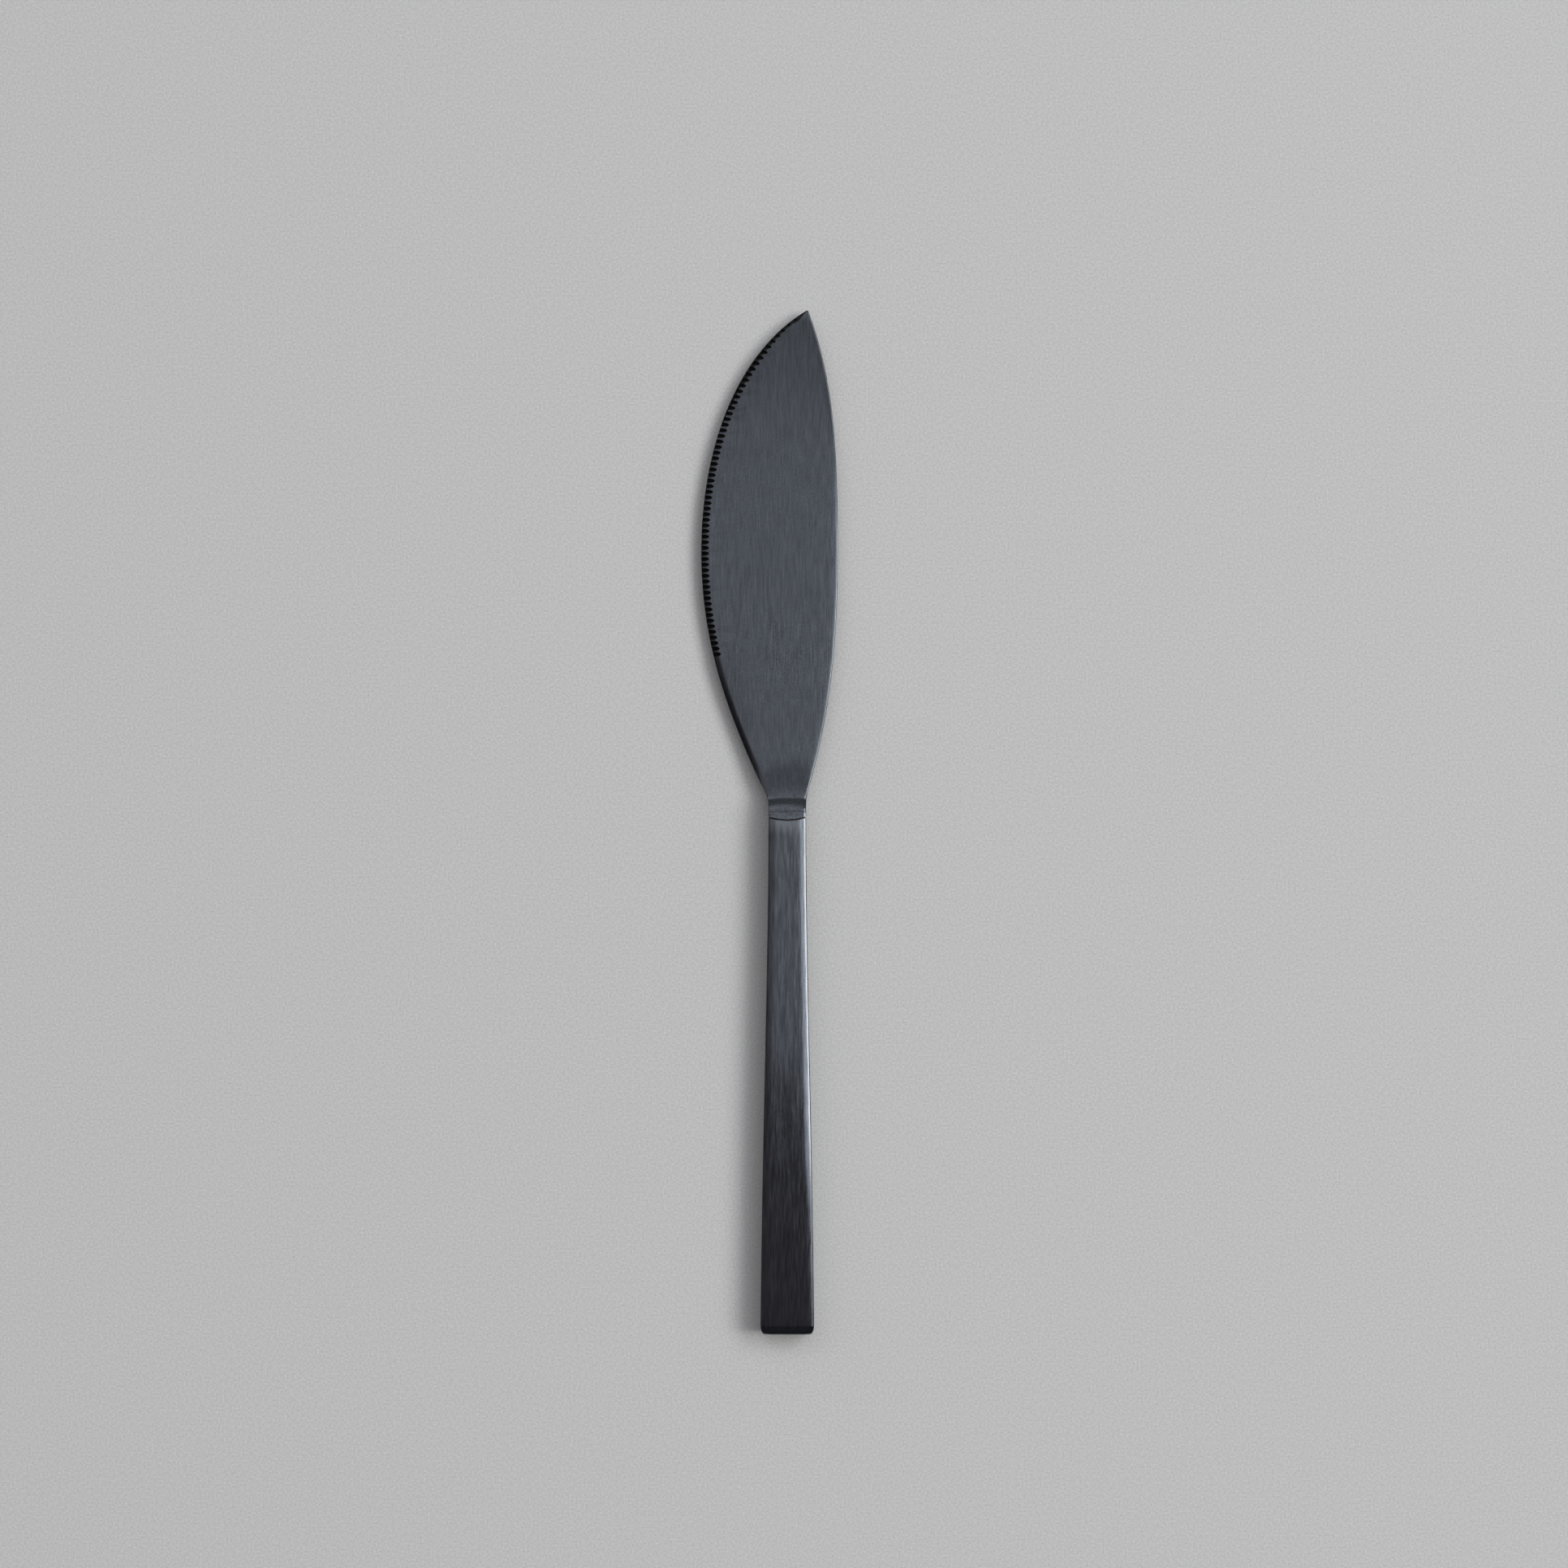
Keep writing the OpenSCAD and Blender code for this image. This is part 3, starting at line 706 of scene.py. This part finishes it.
def new_group(name, inputs, output):
    """A shader node group whose inputs are (name, kind) pairs, with one mask as its output."""
    group = bpy.data.node_groups.new(name, "ShaderNodeTree")
    for label, kind in inputs:
        group.interface.new_socket(name=label, in_out="INPUT", socket_type=kind)
    group.interface.new_socket(name=output, in_out="OUTPUT", socket_type="NodeSocketFloat")
    return group, group.nodes.new("NodeGroupInput"), group.nodes.new("NodeGroupOutput")


def add_spread_noise(nodes, links, place):
    """Noise at place, spread to use the whole range from 0 to 1."""
    noise = nodes.new("ShaderNodeTexNoise")
    noise.inputs["Scale"].default_value = 1
    noise.inputs["Detail"].default_value = NOISE_DETAIL
    noise.inputs["Roughness"].default_value = NOISE_ROUGHNESS
    links.new(place, noise.inputs["Vector"])
    spread = nodes.new("ShaderNodeMapRange")
    spread.inputs["From Min"].default_value, spread.inputs["From Max"].default_value = NOISE_RANGE
    links.new(noise.outputs["Fac"], spread.inputs["Value"])
    return spread.outputs["Result"]


def brushed_lines(grain):
    """Fine lines along the knife, so many to the metre across and along it, with a share of even grain."""
    group, given, result = new_group(
        "brushed_lines",
        [
            ("Place", "NodeSocketVector"),
            ("Across", "NodeSocketFloat"),
            ("Along", "NodeSocketFloat"),
            ("Grain", "NodeSocketFloat"),
        ],
        "Lines",
    )
    nodes, links = group.nodes, group.links
    scale = nodes.new("ShaderNodeCombineXYZ")
    links.new(given.outputs["Across"], scale.inputs["X"])
    links.new(given.outputs["Along"], scale.inputs["Y"])
    links.new(given.outputs["Across"], scale.inputs["Z"])
    stretch = nodes.new("ShaderNodeMapping")
    links.new(given.outputs["Place"], stretch.inputs["Vector"])
    links.new(scale.outputs["Vector"], stretch.inputs["Scale"])
    specks = nodes.new("ShaderNodeGroup")
    specks.node_tree = grain
    specks.inputs["Fineness"].default_value = BRUSHED_GRAIN
    links.new(given.outputs["Place"], specks.inputs["Place"])
    both = nodes.new("ShaderNodeMix")
    links.new(given.outputs["Grain"], both.inputs["Factor"])
    links.new(add_spread_noise(nodes, links, stretch.outputs["Vector"]), both.inputs["A"])
    links.new(specks.outputs["Grain"], both.inputs["B"])
    links.new(both.outputs["Result"], result.inputs["Lines"])
    return group


def coat_grain():
    """Even grain, so many specks to the metre."""
    group, given, result = new_group(
        "coat_grain", [("Place", "NodeSocketVector"), ("Fineness", "NodeSocketFloat")], "Grain"
    )
    nodes, links = group.nodes, group.links
    shrink = nodes.new("ShaderNodeVectorMath")
    shrink.operation = "SCALE"
    links.new(given.outputs["Place"], shrink.inputs["Vector"])
    links.new(given.outputs["Fineness"], shrink.inputs["Scale"])
    links.new(add_spread_noise(nodes, links, shrink.outputs["Vector"]), result.inputs["Grain"])
    return group


class Finish:
    """A material under construction, with short ways to add its nodes."""

    def __init__(self, name):
        self.material = bpy.data.materials.new(name)
        self.material.use_nodes = True
        self.nodes = self.material.node_tree.nodes
        self.links = self.material.node_tree.links
        self.shader = self.nodes["Principled BSDF"]
        self.place = self.nodes.new("ShaderNodeTexCoord").outputs["Object"]

    def set(self, **values):
        """Sets constant sockets, named with _ for each space."""
        for name, value in values.items():
            self.shader.inputs[name.replace("_", " ")].default_value = value

    def feed(self, name, output):
        self.links.new(output, self.shader.inputs[name])

    def mask(self, group, **values):
        """Places a shared mask with its own values."""
        node = self.nodes.new("ShaderNodeGroup")
        node.node_tree = group
        self.links.new(self.place, node.inputs["Place"])
        for name, value in values.items():
            node.inputs[name].default_value = value
        return node.outputs[0]

    def along(self, start, end, axis="Y"):
        """A soft mask that goes from 0 at start to 1 at end, along the knife or another axis."""
        split = self.nodes.new("ShaderNodeSeparateXYZ")
        self.links.new(self.place, split.inputs["Vector"])
        return self.spread(split.outputs[axis], 0, 1, start, end)

    def spread(self, value, low, high, start=0, end=1):
        """A value that goes smoothly from low to high as another goes from start to end."""
        node = self.nodes.new("ShaderNodeMapRange")
        node.interpolation_type = "SMOOTHSTEP"
        settings = {"From Min": start, "From Max": end, "To Min": low, "To Max": high}
        for name, number in settings.items():
            node.inputs[name].default_value = number
        self.links.new(value, node.inputs["Value"])
        return node.outputs["Result"]

    def blend(self, share, low, high):
        """Colours or values from low to high, each a constant or another node's output."""
        node = self.nodes.new("ShaderNodeMix")
        node.data_type = "RGBA"
        self.links.new(share, node.inputs["Factor"])
        for name, colour in (("A", low), ("B", high)):
            if isinstance(colour, tuple):
                node.inputs[name].default_value = (*colour, 1)
            else:
                self.links.new(colour, node.inputs[name])
        return node.outputs["Result"]

    def bump(self, height, distance):
        node = self.nodes.new("ShaderNodeBump")
        node.inputs["Distance"].default_value = distance
        self.links.new(height, node.inputs["Height"])
        self.feed("Normal", node.outputs["Normal"])

    def brush_along(self):
        """Draws reflections out across the brushing, which runs along the knife."""
        across = self.nodes.new("ShaderNodeVectorMath")
        across.operation = "CROSS_PRODUCT"
        across.inputs[1].default_value = (0, 1, 0)
        self.links.new(self.place.node.outputs["Normal"], across.inputs[0])
        turned = self.nodes.new("ShaderNodeVectorTransform")
        turned.vector_type = "VECTOR"
        turned.convert_from = "OBJECT"
        turned.convert_to = "WORLD"
        self.links.new(across.outputs["Vector"], turned.inputs["Vector"])
        self.feed("Tangent", turned.outputs["Vector"])
        self.set(Anisotropic=1)


def blade_coat(lines, grain):
    """Black coating over steel, brushed lengthwise, with the bolster left mottled and a painted highlight
    that lightens it towards the joint.
    """
    finish = Finish("blade_coat")
    streaks = finish.mask(lines, **BLADE_LINES)
    specks = finish.spread(finish.mask(grain, Fineness=MOTTLE_GRAIN), *MOTTLE_RANGE)
    coat = finish.blend(finish.along(HEEL_Y, NECK_Y), streaks, specks)
    tone = finish.blend(coat, *COAT_TONES)
    joint_sheen = finish.blend(coat, *SHEEN_TONES)
    finish.set(Metallic=1)
    # Painted highlight: the tone turns lighter towards the joint
    finish.feed("Base Color", finish.blend(finish.along(NECK_Y, -NECK_Y), tone, joint_sheen))
    finish.feed("Roughness", finish.spread(coat, *COAT_ROUGH))
    finish.bump(coat, LINE_DEPTH)
    finish.brush_along()
    return finish.material


def handle_coat(lines):
    """The same coating, with a painted highlight that makes it a little lighter just behind the joint, and
    brushed more faintly to the butt.
    """
    finish = Finish("handle_coat")
    strong = finish.mask(lines, **HANDLE_LINES)
    streaks = finish.blend(finish.along(*SOFT_LINES), strong, finish.spread(strong, *SOFT_RANGE))
    coat = finish.blend(streaks, *STREAK_TONES)
    joint_sheen = finish.blend(streaks, *SHEEN_TONES)
    finish.set(Metallic=1)
    # Painted highlight just behind the joint, fading out towards the right side
    joint_sheen_share = finish.blend(finish.along(*SHEEN_SIDE, "X"), finish.along(-SHEEN_LEN, 0), (0, 0, 0))
    finish.feed("Base Color", finish.blend(joint_sheen_share, coat, joint_sheen))
    finish.feed("Roughness", finish.spread(streaks, *COAT_ROUGH))
    finish.bump(streaks, LINE_DEPTH)
    finish.brush_along()
    return finish.material


def weld_coat(lines):
    """The ground weld under the coating: coarser lines with less contrast, a little rougher."""
    finish = Finish("weld_coat")
    streaks = finish.mask(lines, **WELD_LINES)
    finish.set(Metallic=1)
    finish.feed("Base Color", finish.blend(streaks, *WELD_TONES))
    finish.feed("Roughness", finish.spread(streaks, *WELD_ROUGH))
    finish.bump(streaks, WELD_LINE_DEPTH)
    finish.brush_along()
    return finish.material


def matt_painted_shade(name, grain, tones):
    """Near-black matt finish whose dark colour is painted shade, for the notches' hollows and the rim near
    the tip.
    """
    finish = Finish(name)
    specks = finish.mask(grain, Fineness=MATT_GRAIN)
    finish.set(Roughness=MATT_ROUGH, Specular_IOR_Level=MATT_SHINE)
    finish.feed("Base Color", finish.blend(specks, *tones))
    finish.bump(specks, MATT_DEPTH)
    return finish.material


def braze_metal(grain):
    """Dark filler metal, set below the surface."""
    finish = Finish("braze_metal")
    specks = finish.mask(grain, Fineness=BRAZE_GRAIN)
    finish.set(Metallic=1)
    finish.feed("Base Color", finish.blend(specks, *BRAZE_TONES))
    finish.feed("Roughness", finish.spread(specks, *BRAZE_ROUGH))
    finish.bump(specks, BRAZE_DEPTH)
    return finish.material


def cement(grain):
    """Grey brown filled cement."""
    finish = Finish("cement")
    specks = finish.mask(grain, Fineness=CEMENT_GRAIN)
    finish.set(Roughness=CEMENT_ROUGH)
    finish.feed("Base Color", finish.blend(specks, *CEMENT_TONES))
    finish.bump(specks, CEMENT_DEPTH)
    return finish.material


def paper_floor(grain):
    """Pale matt paper."""
    finish = Finish("paper_floor")
    specks = finish.mask(grain, Fineness=PAPER_GRAIN)
    finish.set(Roughness=PAPER_ROUGH, Specular_IOR_Level=PAPER_SHINE)
    low = tuple(c * (1 - PAPER_CONTRAST) for c in PAPER_TONE)
    high = tuple(c * (1 + PAPER_CONTRAST) for c in PAPER_TONE)
    finish.feed("Base Color", finish.blend(specks, low, high))
    finish.bump(specks, PAPER_DEPTH)
    return finish.material


def dress_node(node, material):
    """Gives a CAD node that stays as it is a better finish."""
    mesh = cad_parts[node].data
    mesh.materials.clear()
    mesh.materials.append(material)


# Floor, camera and light

CAMERA_X = -0.67 * MM
CAMERA_Y = 7.4 * MM
CAMERA_HEIGHT = 800 * MM
VIEW_WIDTH = 322 * MM
VIEW_LEVEL = 4 * MM
SENSOR = 36
FLOOR_SIZE = 8

# Side lights stand at a distance and span azimuths, counted from +X towards +Y, and elevations
SIDE_ELEVATIONS = (34, 57)
KEY = {"distance": 5, "azimuths": (-7, 54), "radiance": 4, "tone": (0.985, 1, 1.03)}
CORE = {"distance": 4.9, "azimuths": (-7.9, 8), "radiance": 7, "tone": (1, 0.97, 0.86)}
WING = {"distance": 4.8, "azimuths": (-22, -7), "radiance": 1.4, "tone": (1, 1, 1)}
FILL = {"distance": 5, "azimuths": (85, 145), "radiance": 0.5, "tone": (1, 1, 1)}
# Level panels hang at a height and span X and Y, all turned a little about the knife
PANEL_TURN = math.radians(-3)
CEILING = {"height": 2.2, "span_x": (-1.5, 1.43), "span_y": (-0.206, 1.7), "radiance": 0.2}
OVERHEAD = {"height": 2.1, "span_x": (-0.38, 1.36), "span_y": (-0.186, 0.355), "radiance": 0.065}
OVERHEAD_LAYERS = 4
OVERHEAD_STEP = (-0.012, -0.015)
LAYER_GAP = 0.01
NEAR_KEY = {"height": 2, "span_x": (0.43, 1.3), "span_y": (-0.235, 0.307), "radiance": 2}
PANEL_TONE = (0.97, 1, 1.03)
# The room by the direction's part along the knife: dim behind the butt, even overhead, light beyond the tip
ROOM_TONES = {
    -0.3: (0.1, 0.095, 0.1),
    -0.1: (0.205, 0.182, 0.195),
    0.12: (0.36, 0.36, 0.366),
    0.2: (0.36, 0.36, 0.366),
    0.4: (0.66, 0.66, 0.67),
    0.7: (0.5, 0.5, 0.508),
}
# It is dimmer near the floor than overhead
ROOM_DIM = 0.5
ROOM_HEIGHT = 0.7


def make_camera():
    """Looks straight down, with the view's width taken between the blade's level and the handle's."""
    data = bpy.data.cameras.new("camera")
    data.sensor_width = SENSOR
    data.lens = SENSOR * (CAMERA_HEIGHT - VIEW_LEVEL) / VIEW_WIDTH
    camera = bpy.data.objects.new("camera", data)
    camera.location = (CAMERA_X, CAMERA_Y, CAMERA_HEIGHT)
    bpy.context.scene.collection.objects.link(camera)
    bpy.context.scene.camera = camera


def make_floor(grain):
    bpy.ops.object.select_all(action="DESELECT")
    bpy.ops.mesh.primitive_plane_add(size=FLOOR_SIZE)
    floor = bpy.context.object
    floor.name = "floor"
    floor.data.materials.append(paper_floor(grain))


def add_area(name, place, turn, size, radiance, colour):
    """A rectangular soft light of a given radiance, which faces down before it is turned."""
    data = bpy.data.lights.new(name, "AREA")
    data.shape = "RECTANGLE"
    data.size, data.size_y = size
    data.energy = radiance * math.pi * size[0] * size[1]
    data.color = colour
    light = bpy.data.objects.new(name, data)
    light.location = place
    light.rotation_euler = turn
    light.visible_camera = False
    bpy.context.scene.collection.objects.link(light)


def add_side_light(name, distance, azimuths, radiance, tone):
    """A soft light that faces the origin from one side."""
    azimuth = math.radians(sum(azimuths) / 2)
    elevation = math.radians(sum(SIDE_ELEVATIONS) / 2)
    flat = distance * math.cos(elevation)
    place = (flat * math.cos(azimuth), flat * math.sin(azimuth), distance * math.sin(elevation))
    turn = (math.pi / 2 - elevation, 0, math.pi / 2 + azimuth)
    half_w = flat * math.tan(math.radians(azimuths[1] - azimuths[0]) / 2)
    half_h = distance * math.tan(math.radians(SIDE_ELEVATIONS[1] - SIDE_ELEVATIONS[0]) / 2)
    add_area(name, place, turn, (2 * half_w, 2 * half_h), radiance, tone)


def add_panel(name, height, span_x, span_y, radiance):
    """A level light over the knife."""
    x, y = sum(span_x) / 2, sum(span_y) / 2
    cosine, sine = math.cos(PANEL_TURN), math.sin(PANEL_TURN)
    place = (x * cosine - y * sine, x * sine + y * cosine, height)
    size = (span_x[1] - span_x[0], span_y[1] - span_y[0])
    add_area(name, place, (0, 0, PANEL_TURN), size, radiance, PANEL_TONE)


def add_overhead():
    """Thin panels in layers, each a little nearer the butt than the last, so that their ends look soft."""
    for i in range(OVERHEAD_LAYERS):
        near, far = OVERHEAD["span_y"]
        ends = (near + i * OVERHEAD_STEP[0], far + i * OVERHEAD_STEP[1])
        height = OVERHEAD["height"] + i * LAYER_GAP
        add_panel(f"overhead_{i + 1}", height, OVERHEAD["span_x"], ends, OVERHEAD["radiance"])


def make_room():
    """A soft world that grows lighter from behind the butt to beyond the tip, and upwards."""
    world = bpy.data.worlds.new("room")
    world.use_nodes = True
    nodes, links = world.node_tree.nodes, world.node_tree.links
    direction = nodes.new("ShaderNodeTexCoord")
    split = nodes.new("ShaderNodeSeparateXYZ")
    links.new(direction.outputs["Generated"], split.inputs["Vector"])
    share = nodes.new("ShaderNodeMapRange")
    share.inputs["From Min"].default_value = -1
    links.new(split.outputs["Y"], share.inputs["Value"])
    tones = nodes.new("ShaderNodeValToRGB")
    tones.color_ramp.interpolation = "EASE"
    stops = tones.color_ramp.elements
    for y, tone in ROOM_TONES.items():
        stops.new((y + 1) / 2).color = (*tone, 1)
    stops.remove(stops[0])
    stops.remove(stops[-1])
    links.new(share.outputs["Result"], tones.inputs["Fac"])
    links.new(tones.outputs["Color"], nodes["Background"].inputs["Color"])
    strength = nodes.new("ShaderNodeMapRange")
    strength.inputs["From Max"].default_value = ROOM_HEIGHT
    strength.inputs["To Min"].default_value = ROOM_DIM
    links.new(split.outputs["Z"], strength.inputs["Value"])
    links.new(strength.outputs["Result"], nodes["Background"].inputs["Strength"])
    bpy.context.scene.world = world


def make_lights():
    add_side_light("key", **KEY)
    add_side_light("key_core", **CORE)
    add_side_light("key_wing", **WING)
    add_side_light("fill", **FILL)
    add_panel("ceiling", **CEILING)
    add_overhead()
    add_panel("near_key", **NEAR_KEY)
    make_room()


grain = coat_grain()
lines = brushed_lines(grain)
make_blade(
    blade_coat(lines, grain),
    matt_painted_shade("rim_painted_shade", grain, RIM_SHADE_TONES),
    matt_painted_shade("notch_painted_shade", grain, NOTCH_SHADE_TONES),
)
make_handle(handle_coat(lines), weld_coat(lines))
dress_node("bolster_braze", braze_metal(grain))
dress_node("handle_filler", cement(grain))

make_camera()
make_floor(grain)
make_lights()
bpy.context.scene.view_settings.view_transform = "Standard"
